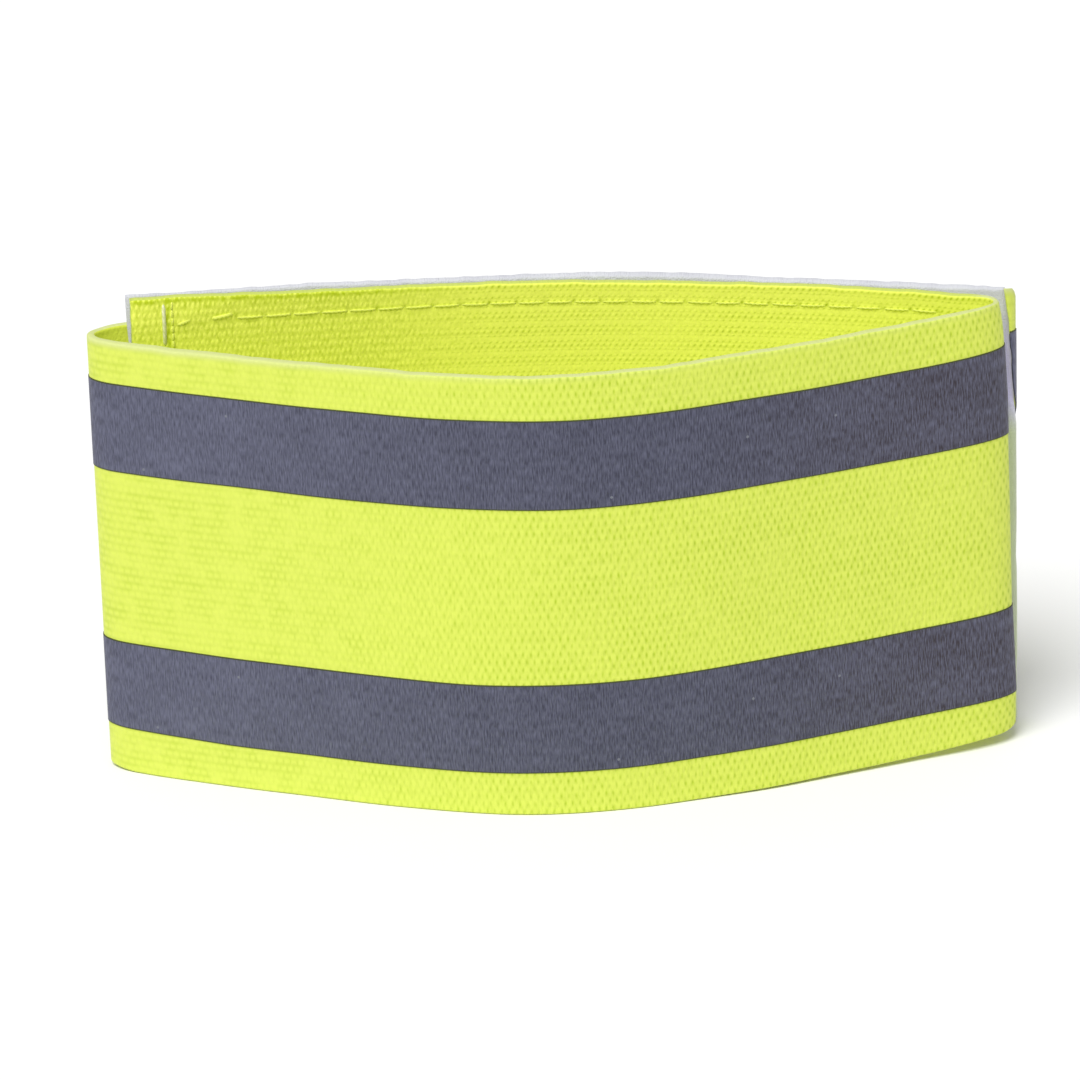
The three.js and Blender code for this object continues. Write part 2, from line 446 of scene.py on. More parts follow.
# An 8-bit screen colour as the linear one that a shader reads.
def screen(r, g, b):
    c = np.array([r, g, b]) / 255
    return (*np.where(c <= 0.04045, c / 12.92, ((c + 0.055) / 1.055) ** 2.4).tolist(), 1.0)


# Webbing
webbing = {
    "width": 50.0,
    "inside": -0.6,
    "outside": 0.6,
    "edge": 0.32,  # height of the rounded edge
    "edgeSteps": 5,
    "faceRows": 76,
    # steps between columns: where it is sewn, elsewhere, and at the landmarks, with their reaches
    "sewnStep": 0.6,
    "coarseStep": 0.9,
    "fineStep": 0.33,
    "fineAt": [("fold", 0.0, 1.0, 9.0), ("nose", 0.0, 1.0, 8.0), ("end", 0.0, 1.0, 9.0)],
    "countStep": 0.05,
    # height, and how far the outer end is cut back there
    "cut": (
        [0, 34, 36.8, 38.5, 40.3, 43.8, 46.1, 47.7, 49, 50],
        [4.6, 4.0, 2.6, 1.35, 1.07, 0.76, 0.64, 0.52, 0.2, 0.05],
    ),
    "cutReach": 9.0,
    # an unevenness has a height, a seed, and its longest and shortest wave
    "fray": (0.08, 5, 10.0, 2.0),
    "frayAtEnd": (1.5, 0.0),
    "frayAtStart": (1.5, 0.0),
    "sway": (0.14, 11, 60.0, 14.0),
    "swayFrom": ("fold", 4.0, 16.0),
    "swayTo": ("nose", -12.0, -3.0),
    "wander": (0.06, 23, 18.0, 3.0),  # of the upper edge
    "squeeze": 0.93,  # share of the thickness that the cut outer end loses
    "squeezeReach": 8.0,
    # landmark, length past it, share of the thickness that is lost there at the top, and reach
    "pressed": [("fold", 1.0, 0.5, 3.5), ("nose", 0.0, 0.25, 6.0)],
    "pressedHeights": (42.0, 50.0),
    # height, and how far right the fold leans there
    "foldLean": ([0, 5, 15, 25, 39, 46, 48, 50], [1.05, 1.07, 0.68, 0.54, 0.27, -0.08, -0.27, -0.62]),
    "leanReach": (3.5, 5.0),  # before the fold and after it
    # landmark, length past it, how far the lower edge stands up there, and reach
    "footLift": [("fold", 2.0, 0.35, 5.0), ("fold", -0.5, 0.75, 1.6), ("nose", 0.0, 0.3, 2.5)],
    "topReach": 3.0,  # how far down from the upper edge the cloth follows it
    "footReach": 5.0,
    # length from the outer end, and how far the upper edge, and the upper film's high edge, are lifted
    "endLift": (
        [0, 0.8, 1.05, 1.2, 1.4, 1.6, 2.1, 2.7, 4.3, 6, 11, 17],
        [1.65, 1.46, 1.32, 1.08, 0.84, 0.5, 0.12, -0.1, -0.65, -0.95, -0.5, 0],
    ),
    "bunch": ([0, 1.5, 2.7, 4, 8], [1.15, 1.0, 0.3, -0.15, 0]),
    "bunchFrom": (36.0, 45.0),
    "bunchTo": (46.0, 50.0),
    "innerReach": (0.2, 2.5),  # how far the inner end is drawn out, and over which length
    "cornerDrop": (0.2, 0.9),  # of the inner end's upper corner, and its length
    # length, and how far the inner layer's upper edge stands off its straight line
    "topLift": (
        [0, 1.2, 3, 4.5, 7, 10, 14, 31, 38, 45, 58, 66, 75, 82, 88, 91, 98],
        [0.24, 0.1, 0.05, 0.2, 0.1, 0, -0.14, -0.08, 0.06, 0, -0.1, -0.12, -0.06, -0.19, -0.25, -0.05, 0],
    ),
}

webbingLook = {
    # the outer face's colour, and the darker one that its dots and grooves blend in as painted shade
    "lit": screen(222, 235, 93),
    "deep": screen(182, 205, 38),
    # the inner face is lighter than the outer face, as painted light that offsets the shade inside the loop
    "innerLit": screen(247, 253, 108),
    "innerDeep": screen(182, 200, 6),
    "selvedge": screen(214, 222, 146),
    # the edges' yellow, darker than the faces: painted shade that tones down the light from above on the top
    # edge
    "edgeLit": screen(206, 217, 64),
    "edgeDeep": screen(165, 185, 20),
    "edgeTop": screen(204, 218, 106),
    "cutEnd": screen(74, 75, 86),  # beside the film
    "cutLength": 0.02,
    "cutMiddle": 15.1,  # of the film's cut end, from the centre line
    "cutHalf": 5.0,
    "outerWeave": {"PitchAlong": 0.79, "PitchUp": 0.865, "Loose": 0.16, "DotWide": 0.17, "DotTall": 0.33},
    "outerStrokes": {"PerAlong": 2.7, "PerUp": 0.8},
    "innerWeave": {"PitchAlong": 0.7, "PitchUp": 0.567, "Lean": -0.4, "DotWide": 0.22, "DotTall": 0.34},
    "pressedWeave": {"PitchAlong": 0.54, "PitchUp": 0.87, "Lean": -0.35, "DotWide": 0.23, "DotTall": 0.27},
    "innerStrokes": {"PerAlong": 2.6, "PerUp": 1.5},
    "innerRibs": (1.7, 0.4, 0.5),  # pitch, share and offset
    "edgeStrokes": {"PerAlong": 2.6, "PerUp": 0.3},
    # patches have the scale, gain and offset of their noise
    "outerPatches": (0.15, 1.2, 0.2),
    "fading": (0.45, 2.8, -0.8),
    "innerPatches": (0.12, 1.4, 0.1),
    "edgePatches": (0.5, 0.8, 0.5),
    "slack": (45.0, 6.0),  # from how far past the fold to how far before the nose the weave tightens
    # strengths on the outer face, where the weave is tight and where it is slack
    "dots": (0.3, 1.05),
    "grooves": (0.5, 0.1),
    "strokes": (0.2, 1.0),
    "paleTop": (0.95, 0.2),
    "paleTopReach": 0.5,
    "strokeHeight": (0.3, 1.1),
    "outerMean": 0.47,  # of the strokes
    "flatRibs": (21.0, 41.0),  # the length over which the ribs rise
    # strengths on the inner face, where the ribs are raised and where they are pressed flat
    "topRowShade": (0.12, 0.44),
    "topRowShadeReach": 0.9,  # how far down the inner face the painted shade below its edge reaches
    "innerContrast": (0.3, 1.1),
    "innerMean": 0.42,
    # a darker ground where the ribs are pressed flat, on which the light ticks show: partly painted shade
    # near the nose
    "pressedShade": 0.34,
    "innerShade": 0.76,  # of the dark dots between the ribs
    "pressedLight": 0.85,  # of the light ticks where the ribs are pressed flat
    "lastDots": ("nose", -3.0, -9.0),
    # shade deep in the folds
    "nearFold": ("fold", -24.0, -2.0),
    "foldShade": 0.15,
    "pastNose": ("nose", -5.0, 3.0),
    "noseShade": 0.28,
    # painted shade in a crease beside the upright stitches: its length, width and shade
    "endCrease": (3.75, 0.2, 0.5),
    "holeShade": 0.3,
    "heights": {"weave": 0.7, "ribs": 0.45, "ticks": 0.6, "strokes": 1.0, "holes": -1.0},
    "edgeTicks": (2.4, -0.95),  # gain and offset of the strokes
    "edgeTopReach": 0.14,
    "edgeTopShade": 0.8,
    "paleFrom": ("fold", -4.0, -1.0),
    "roughness": 0.8,
    "edgeRoughness": 0.85,
    "sheen": 0.15,
    "paintedGlow": 0.06,  # painted glow: an emission that lifts the inner face where it lies in shade inside the loop
    "outerDepth": 0.065,
    "innerDepth": 0.06,
    "edgeDepth": 0.12,
}

# Rows of stitches along the inner layer. A row rises with s up to its highest place.
seam = {
    "pitch": 3.04,
    "radius": 0.125,
    "first": 11.05,
    "last": 90.0,
    "low": 47.35,
    "rise": 0.0155,  # mm up for each mm along
    "high": 47.75,
    # how far the cloth is drawn in, how much less far along, between which lengths, and how wide
    "draw": 0.07,
    "drawLess": 0.045,
    "drawEases": (30.0, 60.0),
    "drawWidth": 0.6,
    "beat": 0.45,  # share of it that comes and goes from hole to hole
    "runOut": 2.0,
    "holes": (0.22, 0.38, 1.0),  # half their length and height, and how far past the row's ends they may be
}

endSeam = {
    "upright": 3.3,  # the long stitches of cream thread
    "top": 49.5,
    "bottom": 1.0,
    "pitch": 5.0,
    "radius": 0.22,
    "draw": (0.12, 0.5),  # how far the cloth is drawn in, and how wide
    "dashesAt": 4.2,  # the small stitches beside them
    "dashPitch": 0.85,
    "dashRadius": 0.14,
    # slack stitches: from s and up to s and up, and the radius
    "looseEnd": (4.6, 46.95, 6.4, 47.6, 0.2),
    "slack": (8.3, 47.45, 10.8, 47.85, 0.23),
    # puffs of the cloth beside them: how far out, and the place and width along and up
    "puffs": [(0.2, 6.2, 1.3, 47.9, 0.8), (0.2, 9.2, 1.2, 48.8, 0.6)],
}


# How far the edges stand off their straight lines: bells lift the lower one at the fold and the nose;
# the upper one wanders, drops at the inner corner and is lifted at the outer end, where the cloth at
# the film's high edge is pulled up too.
def edgeLift(s, up, fromEnd):
    width, (drop, dropLength) = webbing["width"], webbing["cornerDrop"]
    top = uneven(s, up * 0, *webbing["wander"]) + np.interp(fromEnd, *webbing["endLift"])
    top = top + np.interp(s, *webbing["topLift"]) - drop * ramp(s, dropLength, 0)
    foot = bellsAlong(s, webbing["footLift"])
    pulled = ramp(up, *webbing["bunchFrom"]) * (1 - ramp(up, *webbing["bunchTo"]))
    pulled = pulled * np.interp(fromEnd, *webbing["bunch"])
    edges = ramp(up, width - webbing["topReach"], width) * top + ramp(up, webbing["footReach"], 0) * foot
    return edges + pulled


# A place on the cloth: the line's place, with a slanted, thinned cut at the outer end, a soft sway in
# front, a fold that leans, edges that stand off their lines, an inner end that is drawn out, and a fold
# and a nose that are pressed thinner at their tops.
def placeCloth(s, out, up):
    fromEnd, half = bandLine["length"] - s, webbing["outside"]
    thin = webbing["squeeze"] * ramp(fromEnd, webbing["squeezeReach"], 0)
    thin = thin + bellsAlong(s, webbing["pressed"]) * ramp(up, *webbing["pressedHeights"])
    out = np.where(out < half, half - (half - out) * (1 - thin), out)
    free = rampPast(s, *webbing["swayFrom"]) * (1 - rampPast(s, *webbing["swayTo"]))
    out = out + free * uneven(s, up, *webbing["sway"])
    place = placeOn(bandLine, s - cutBack(webbing, s, up, fromEnd), out, up + edgeLift(s, up, fromEnd))
    before, after = webbing["leanReach"]
    lean = np.interp(up, *webbing["foldLean"]) * bell(s, foldAt, np.where(s < foldAt, before, after))
    drawn, drawnLength = webbing["innerReach"]
    place[..., 0] += lean - drawn * ramp(s, drawnLength, 0)
    return place


# The height of the upper row of stitches: it rises with s, up to its highest place.
def seamHeight(s):
    return np.minimum(seam["low"] + seam["rise"] * (s - seam["first"]), seam["high"])


# Lengths for the columns of a mesh: the step is finer round the fold, the nose and the outer end, and
# each column is one on in the sum of ds over the step.
def gradedSteps():
    s = np.arange(0, bandLine["length"], webbing["countStep"])
    step = np.where(s < foldAt, webbing["sewnStep"], webbing["coarseStep"])
    step = step + (webbing["fineStep"] - step) * np.minimum(bellsAlong(s, webbing["fineAt"]), 1)
    count = np.concatenate([[0], np.cumsum(webbing["countStep"] / step)])
    s = np.append(s, bandLine["length"])
    return np.interp(np.linspace(0, count[-1], int(count[-1]) + 1), count, s)


# The webbing itself: the cloth's place, its inner face drawn in along the rows of stitches, most at
# the needle holes, and puffed up beside the loose ones at the inner end.
def placeWebbing(s, out, up):
    middle, first, last = webbing["width"] / 2, seam["first"], seam["last"]
    fromSeam = middle + np.abs(up - middle) - seamHeight(s)
    beat = 1 - seam["beat"] + seam["beat"] * np.cos(2 * np.pi * (s - first) / seam["pitch"])
    sewn = ramp(s, first - seam["runOut"], first) * (1 - ramp(s, last, last + seam["runOut"]))
    draw = seam["draw"] - seam["drawLess"] * ramp(s, *seam["drawEases"])
    draw = draw * bell(fromSeam, 0, seam["drawWidth"]) * beat * sewn
    endDraw, endDrawWidth = endSeam["draw"]
    draw = draw + endDraw * bell(s, endSeam["upright"], endDrawWidth)
    for rise, along, length, height, reach in endSeam["puffs"]:
        draw = draw - rise * bell(s, along, length) * bell(up, height, reach)
    return placeCloth(s, out + np.where((out < 0) & (s < foldAt), draw, 0), up)


# In nodes, needle holes: a bell in each place where a row of stitches passes the cloth.
def needleHoles(x, y):
    middle, (length, height, margin) = webbing["width"] / 2, seam["holes"]
    fromFirst = minus(x, seam["first"])
    count = calc("DIVIDE", fromFirst, seam["pitch"])
    away = times(minus(count, calc("ROUND", count)), seam["pitch"])
    row = calc("MINIMUM", timesPlus(fromFirst, seam["rise"], seam["low"]), seam["high"])
    over = minus(calc("ADD", calc("ABSOLUTE", minus(y, middle)), middle), row)
    mask = times(bellNode(away, length), bellNode(over, height))
    begun = calc("GREATER_THAN", fromFirst, -margin)
    ended = calc("LESS_THAN", x, seam["last"] + margin)
    return times(mask, times(begun, ended))


# How slack the weave is: 1 towards the fold, and 0 where the band is stretched round the nose.
def slackness(place):
    start, stop = webbingLook["slack"]
    return stepAlong(place, noseAt - stop, foldAt + start)


# The outer face: where the weave is slack, dots between the cells and upright strokes; where it is
# tight, soft grooves between its rows that fade in and out, and a paler upper edge. The dots and
# grooves darken the colour as painted shade in the weave's hollows, on top of its bumps.
def makeOuterWebbing():
    look = webbingLook
    material, shader, place = newCloth("webbingOuter", look["roughness"], Sheen_Weight=look["sheen"])
    weave = useGroup(weaveGroup, place, look["outerWeave"])
    strokes = useGroup(strokeGroup, place, look["outerStrokes"])["Value"]
    slack = slackness(place)
    fading = calc("MAXIMUM", patches(place, *look["fading"]), slack)
    patch = times(patches(place, *look["outerPatches"]), fading)
    # painted shade in the weave's hollows: the dots and grooves darken the colour
    shade = times(weave["Dots"], times(patch, between(slack, *look["dots"])))
    tight = times(patch, between(slack, *look["grooves"]))
    shade = timesPlus(weave["Grooves"], tight, shade)
    contrast = between(slack, *look["strokes"])
    shade = timesPlus(minus(strokes, look["outerMean"]), contrast, shade, clamp=True)
    colour = blendColours(shade, look["lit"], look["deep"])
    x, y, _ = splitPlace(place)
    fromTop = minus(webbing["width"], y)
    paleTop = times(bellNode(fromTop, look["paleTopReach"]), between(slack, *look["paleTop"]))
    colour = blendColours(paleTop, colour, look["selvedge"])
    atEnd = calc("GREATER_THAN", x, bandLine["length"] - look["cutLength"])
    fromCentre = calc("ABSOLUTE", minus(fromTop, webbing["width"] / 2))
    fromFilm = calc("ABSOLUTE", minus(fromCentre, look["cutMiddle"]))
    onFilm = calc("LESS_THAN", fromFilm, look["cutHalf"])
    colour = blendColours(times(atEnd, onFilm), colour, look["cutEnd"])
    height = timesPlus(strokes, between(slack, *look["strokeHeight"]), weave["Height"])
    finishMaterial(shader, colour, height, look["outerDepth"])
    return material


# Shade deep in the folds: it rises as the inner layer nears the fold, and again past the nose.
def deepShade(place):
    look = webbingLook
    pastNose = times(stepPast(place, *look["pastNose"]), look["noseShade"])
    return timesPlus(stepPast(place, *look["nearFold"]), look["foldShade"], pastNose)


# The inner face: smooth ribs, and dark leaning dots between them, which end at the nose. Near the
# inner end the ribs are pressed flat, and light ticks take their place on a ground darkened partly
# with painted shade. The top row is darker with painted shade, and so is a crease beside the
# upright stitches.
def makeInnerWebbing():
    look = webbingLook
    heights = look["heights"]
    crease, creaseWidth, creaseShade = look["endCrease"]
    material, shader, place = newCloth("webbingInner", look["roughness"], Emission_Strength=look["paintedGlow"])
    weave = useGroup(weaveGroup, place, look["innerWeave"])
    pressedTicks = useGroup(weaveGroup, place, look["pressedWeave"])["Dots"]
    strokes = useGroup(strokeGroup, place, look["innerStrokes"])["Value"]
    x, y, _ = splitPlace(place)
    holes = needleHoles(x, y)
    ribHeight, ribMask = clothRibs(y, *look["innerRibs"])
    raised = stepAlong(place, *look["flatRibs"])
    pressed = minus(1.0, raised)
    plain = times(minus(1.0, ribMask), raised)
    ticks = times(pressedTicks, pressed)
    dotted = times(plain, stepPast(place, *look["lastDots"]))
    dark = times(times(weave["Dots"], dotted), look["innerShade"])
    shade = timesPlus(ticks, -look["pressedLight"], dark)
    shade = times(shade, patches(place, *look["innerPatches"]))
    # partly painted shade: a darker ground near the inner end
    shade = timesPlus(pressed, look["pressedShade"], shade)
    shade = calc("ADD", deepShade(place), shade)
    # painted shade along the top row, under the upper edge
    topRowShade = bellNode(minus(webbing["width"], y), look["topRowShadeReach"])
    shade = timesPlus(topRowShade, between(pressed, *look["topRowShade"]), shade)
    contrast = between(pressed, *look["innerContrast"])
    shade = timesPlus(minus(strokes, look["innerMean"]), contrast, shade)
    # painted shade in the crease beside the upright stitches
    shade = timesPlus(bellNode(minus(x, crease), creaseWidth), creaseShade, shade)
    shade = timesPlus(holes, look["holeShade"], shade, clamp=True)
    height = times(times(weave["Height"], plain), heights["weave"])
    height = timesPlus(ribHeight, times(raised, heights["ribs"]), height)
    for label, value in {"ticks": ticks, "strokes": strokes, "holes": holes}.items():
        height = timesPlus(value, heights[label], height)
    colour = blendColours(shade, look["innerLit"], look["innerDeep"])
    # painted glow: the inner face gives off its own colour, which lifts it in the shade inside the loop
    join(colour, shader.inputs["Emission Color"])
    finishMaterial(shader, colour, height, look["innerDepth"])
    return material


# The edges: yellow with fine ticks, darker than the faces as painted shade that tones down the
# light from above, and the upper one paler from the fold on.
def makeSelvedge():
    look = webbingLook
    material, shader, place = newCloth("webbingEdge", look["edgeRoughness"], Sheen_Weight=look["sheen"])
    strokes = useGroup(strokeGroup, place, look["edgeStrokes"])["Value"]
    y = splitPlace(place)["Y"]
    upper = calc("GREATER_THAN", y, webbing["width"] / 2)
    paleFromFold = times(stepPast(place, *look["paleFrom"]), upper)
    paleFromFold = times(paleFromFold, patches(place, *look["edgePatches"]))
    ticks = timesPlus(strokes, *look["edgeTicks"], clamp=True)
    # painted shade: the edges take a darker yellow than the faces
    colour = blendColours(ticks, look["edgeLit"], look["edgeDeep"])
    top = bellNode(minus(webbing["width"], y), look["edgeTopReach"])
    colour = blendColours(times(top, look["edgeTopShade"]), colour, look["edgeTop"])
    colour = blendColours(paleFromFold, colour, look["selvedge"])
    finishMaterial(shader, colour, strokes, look["edgeDepth"])
    return material


def makeWebbing():
    materials = [makeOuterWebbing(), makeInnerWebbing(), makeSelvedge()]
    return stripPiece("webbing", webbing, 0, webbing["width"], gradedSteps(), placeWebbing, materials)


# Reflective film
film = {
    "width": 10.0,
    "inside": 0.5,
    "outside": 0.68,
    "edge": 0.06,
    "edgeSteps": 2,
    "faceRows": 18,
    "share": [0, 0.1, 0.3, 0.5, 0.7, 0.85, 1],  # of the way from the fold to the nose
    # the middle's height, and how far the low and the high edge stand off their straight lines
    "lower": (
        10.1,
        [-0.35, -0.3, -0.15, -0.2, -0.2, -0.12, 0.2],
        [-0.15, -0.08, 0.08, -0.05, 0.1, 0.25, 0.4],
    ),
    "upper": (
        40.2,
        [-0.3, -0.25, -0.12, -0.1, -0.1, 0.02, 0.04],
        [-0.15, -0.25, -0.14, 0.0, 0.0, 0.14, 0.2],
    ),
}

filmLook = {
    "grey": screen(107, 109, 131),
    "dark": screen(62, 63, 80),
    # painted shade: the darker, warmer colour that the film takes towards the fold, where it turns away from
    # the light
    "darkAtFold": screen(57, 51, 60),
    "warmFrom": ("fold", 42.0, 6.0),
    "rimLine": screen(70, 76, 42),
    "rimWidth": 0.14,
    "weave": {"PitchAlong": 0.79, "PitchUp": 0.865, "DotWide": 0.2, "DotTall": 0.3},
    "strokes": {"PerAlong": 6.8, "PerUp": 1.0},
    "bands": {"PerAlong": 0.15, "PerUp": 1.3},
    "patchScale": 0.2,
    # how much each darkens the grey, and how much of their sum is left out; slack is painted shade towards
    # the fold
    "shades": {"patches": 0.35, "strokes": 1.72, "bands": 0.2, "dots": 0.1, "slack": 0.3},
    "leftOut": 0.845,
    # specks: colour, how many to a mm, their size, and the share of places without one
    "speck": screen(122, 125, 136),
    "speckScale": 0.6,
    "speckSize": 0.09,
    "speckless": 0.988,
    "strokeHeight": 1.2,
    "weaveHeight": 0.5,
    "roughness": 0.5,
    "metallic": 0.45,
    "depth": 0.08,
}


# The film: upright strokes, faint level bands, the weave pressed through, a few pale specks, and a
# dark line along both edges. Towards the fold it is darker and warmer, as painted shade where it
# turns away from the light.
def makeFilm():
    look, shades = filmLook, filmLook["shades"]
    material, shader, place = newCloth("stripeFilm", look["roughness"], Metallic=look["metallic"])
    weave = useGroup(weaveGroup, place, look["weave"])
    strokes = useGroup(strokeGroup, place, look["strokes"])["Value"]
    bands = useGroup(strokeGroup, place, look["bands"])["Value"]
    # here slackness only places painted shade, deepest towards the fold
    slack = slackness(place)
    shade = times(noiseOn(place, look["patchScale"]), shades["patches"])
    for label, value in {"strokes": strokes, "bands": bands, "dots": weave["Dots"], "slack": slack}.items():
        shade = timesPlus(value, shades[label], shade)
    # painted shade: darker and warmer towards the fold
    dark = blendColours(stepPast(place, *look["warmFrom"]), look["dark"], look["darkAtFold"])
    colour = blendColours(minus(shade, look["leftOut"], clamp=True), look["grey"], dark)
    inputs = {"Vector": place, "Scale": look["speckScale"]}
    chips = addNode("ShaderNodeTexVoronoi", inputs, voronoi_dimensions="2D").outputs
    small = calc("LESS_THAN", chips["Distance"], look["speckSize"])
    rare = calc("GREATER_THAN", splitPlace(chips["Color"])["X"], look["speckless"])
    colour = blendColours(times(small, rare), colour, look["speck"])
    y, half = splitPlace(place)["Y"], film["width"] / 2
    rim = calc("GREATER_THAN", calc("ABSOLUTE", minus(y, half)), half - look["rimWidth"])
    colour = blendColours(rim, colour, look["rimLine"])
    height = timesPlus(strokes, look["strokeHeight"], times(weave["Height"], look["weaveHeight"]))
    finishMaterial(shader, colour, height, look["depth"])
    return material


# A stripe follows the cloth. Its heights are drawn out between its edges, which stand off their
# straight lines by the table's values at that share of the way round the front.
def makeFilmStripe(name, row, material):
    middle, lowEdge, highEdge = row
    low = middle - film["width"] / 2

    def place(s, out, up):
        share = (s - foldAt) / (noseAt - foldAt)
        lowLift = np.interp(share, film["share"], lowEdge)
        highLift = np.interp(share, film["share"], highEdge)
        return placeCloth(s, out, up + lowLift + (highLift - lowLift) * (up - low) / film["width"])

    return stripPiece(name, film, low, low + film["width"], gradedSteps(), place, [material])


# Fastening tapes
tapeLook = {
    "pale": screen(206, 208, 211),
    "shade": screen(178, 178, 187),
    "lilac": screen(199, 195, 223),
    # a greenish grey: painted reflection of light from the yellow cloth, blended in low on the far end
    "paintedYellowBounce": screen(179, 188, 158),
    # where the far end is tinted: from its length to its length before the end, and its height and reach
    "tinted": (6.0, 3.0),
    "tintedBelow": (47.5, 3.0),
    "paintedBounceBelow": (37.5, 4.0),
    "hooks": screen(200, 200, 203),
    "pileDetail": 5.0,
    "patchScale": 0.35,
    "roughness": 0.9,
    "paintedGlow": 0.32,  # painted glow: an emission that lifts the tapes where they lie in shade, as beside the fold
}

loopTape = {
    "inside": 0.95,
    "outside": 2.3,
    "standsUp": 0.15,
    "narrower": 0.08,  # than the webbing
    "edge": 0.35,
    "edgeSteps": 4,
    "faceRows": 30,
    "step": 0.4,
    "pileScale": 6.0,
    "depth": 0.2,
    "trim": 0.05,  # cut off at its start
    # height, and how far its far end is tucked in there
    "cut": ([0, 33, 36, 38.5, 42, 44, 47, 50], [0, 0, 0.12, 0.25, 0.3, 0.45, 0.9, 1.3]),
    "cutReach": 9.0,
    "fray": (0.1, 41, 11.0, 1.5),
    "frayAtEnd": (1.5, 0.0),
    "frayAtStart": (2.0, 0.5),
    "standOff": 0.3,  # further out from the webbing at the far end
    "standOffFrom": (8.0, 3.0),
    "nap": (0.05, 43, 9.0, 1.5),
    # length, and the share of the thickness that shows there
    "loft": ([0, 12, 40, 58, 75, 90, 96], [0.5, 0.65, 0.95, 1.1, 1.0, 1.0, 0.6]),
    # length, and how far the upper edge stands off its straight line
    "lift": (
        [0.3, 1.2, 7, 14, 23, 31, 44, 51, 58, 66, 75, 82, 88, 92, 96],
        [0.0, 0.0, -0.08, -0.08, 0.06, -0.03, 0.08, 0.2, 0.17, -0.1, -0.14, -0.03, -0.05, -0.06, 0.0],
    ),
    "wander": (0.07, 47, 25.0, 2.0),
    "topReach": 1.0,
}


# In nodes, a share that rises from 0 at a height to 1 at its reach below it.
def shareBelow(y, height, reach):
    return calc("DIVIDE", minus(height, y), reach, clamp=True)


# Colour of the loop tape's far end, where it shows beside the fold: lilac, and greener lower down,
# where a painted reflection of light from the yellow cloth is blended in.
def tintFarEnd(place, colour):
    y, (start, stop) = splitPlace(place)["Y"], tapeLook["tinted"]
    nearEnd = stepAlong(place, loopTapeLine["length"] - start, loopTapeLine["length"] - stop)
    lowDown = shareBelow(y, *tapeLook["paintedBounceBelow"])
    # painted reflection of the yellow cloth, greener lower down
    tint = blendColours(lowDown, tapeLook["lilac"], tapeLook["paintedYellowBounce"])
    tinted = times(nearEnd, shareBelow(y, *tapeLook["tintedBelow"]))
    return blendColours(tinted, colour, tint)


# Pile of a fastening tape: fine noise for its loops or hooks, and soft patches.
def makeTape(name, pale, tape):
    material, shader, place = newCloth(name, tapeLook["roughness"], Emission_Strength=tapeLook["paintedGlow"])
    pile = noiseOn(place, tape["pileScale"], tapeLook["pileDetail"])
    patch = noiseOn(place, tapeLook["patchScale"])
    shade = times(calc("ADD", pile, patch), 0.5)
    colour = blendColours(shade, pale, tapeLook["shade"])
    colour = tintFarEnd(place, colour)
    # painted glow: the tape gives off its own colour, which lifts it where it lies in shade
    join(colour, shader.inputs["Emission Color"])
    finishMaterial(shader, colour, pile, tape["depth"])
    return material


# A place on the loop tape: its line's place, tucked in and standing off at its far end, thinner where
# it is sewn down, with an uneven nap and a wandering upper edge.
def placeLoopTape(s, out, up):
    tape, fromEnd, width = loopTape, loopTapeLine["length"] - s, webbing["width"]
    out = tape["inside"] + (out - tape["inside"]) * np.interp(s, *tape["loft"])
    out = out + tape["standOff"] * ramp(fromEnd, *tape["standOffFrom"]) + uneven(s, up, *tape["nap"])
    lift = np.interp(s, *tape["lift"]) + uneven(s, up * 0, *tape["wander"])
    lift = lift * ramp(up, width - tape["topReach"], width)
    return placeOn(loopTapeLine, s - cutBack(tape, s, up, fromEnd), out, up + lift)


def makeLoopTape():
    low = loopTape["standsUp"]
    high = low + webbing["width"] - loopTape["narrower"]
    count = int(loopTapeLine["length"] / loopTape["step"]) + 1
    s = np.linspace(loopTape["trim"], loopTapeLine["length"], count)
    material = makeTape("loopTapeNap", tapeLook["pale"], loopTape)
    return stripPiece("loopTape", loopTape, low, high, s, placeLoopTape, [material])


hookTape = {
    "rows": (2, 5),  # of the inner layer, at which it starts and ends
    "inside": 2.6,
    "outside": 3.42,
    "inset": 1.5,
    "edge": 0.25,
    "edgeSteps": 3,
    "faceRows": 26,
    "step": 0.5,
    "margin": 0.01,  # past its end, where a last column may still stand
    "pileScale": 9.0,
    "depth": 0.25,
    "nap": (0.04, 53, 8.0, 2.0),
}
hookStart, hookStop = rowLengths[list(hookTape["rows"])]


# A place on the hook tape: the guide line's place, level with the surface that the band stands on.
def placeHookTape(s, out, up):
    place = placeOn(guideLine, s, out + uneven(s, up, *hookTape["nap"]), up)
    place[..., 2] = up
    return place


def makeHookTape():
    low, high = hookTape["inset"], webbing["width"] - hookTape["inset"]
    s = np.arange(hookStart, hookStop + hookTape["margin"], hookTape["step"])
    material = makeTape("hookTapeFace", tapeLook["hooks"], hookTape)
    return stripPiece("hookTape", hookTape, low, high, s, placeHookTape, [material])


# Stitching
hookSeam = {"pitch": 3.0, "radius": 0.16, "top": 46.7, "bottom": 3.3, "inset": 1.6}

thread = {
    # each thread's colour, and the darker one painted as shade between its strands
    "yellow": (screen(248, 255, 116), screen(226, 238, 70)),
    "cream": (screen(238, 240, 200), screen(218, 222, 150)),
    "roughness": 0.6,
    "sheen": 0.3,
    "depth": 0.04,
    "twists": 3.0,  # in each stitch
}

stitch = {
    "along": 9,  # rings
    "around": 6,  # sides of a ring
    "tilt": 0.08,
    "seed": 61,
    "level": 0.5,  # a stitch that rises less than this is tilted up or down, and any other along
    # how high it stands, and how deep it is sunk, in radii, and how flat its arch is
    "stands": 1.4,
    "sunk": 1.15,
    "flatness": 0.6,
    "taper": 5.0,
    "tip": 0.4,
    "probe": 0.2,  # the step outward that finds which way the cloth faces
}


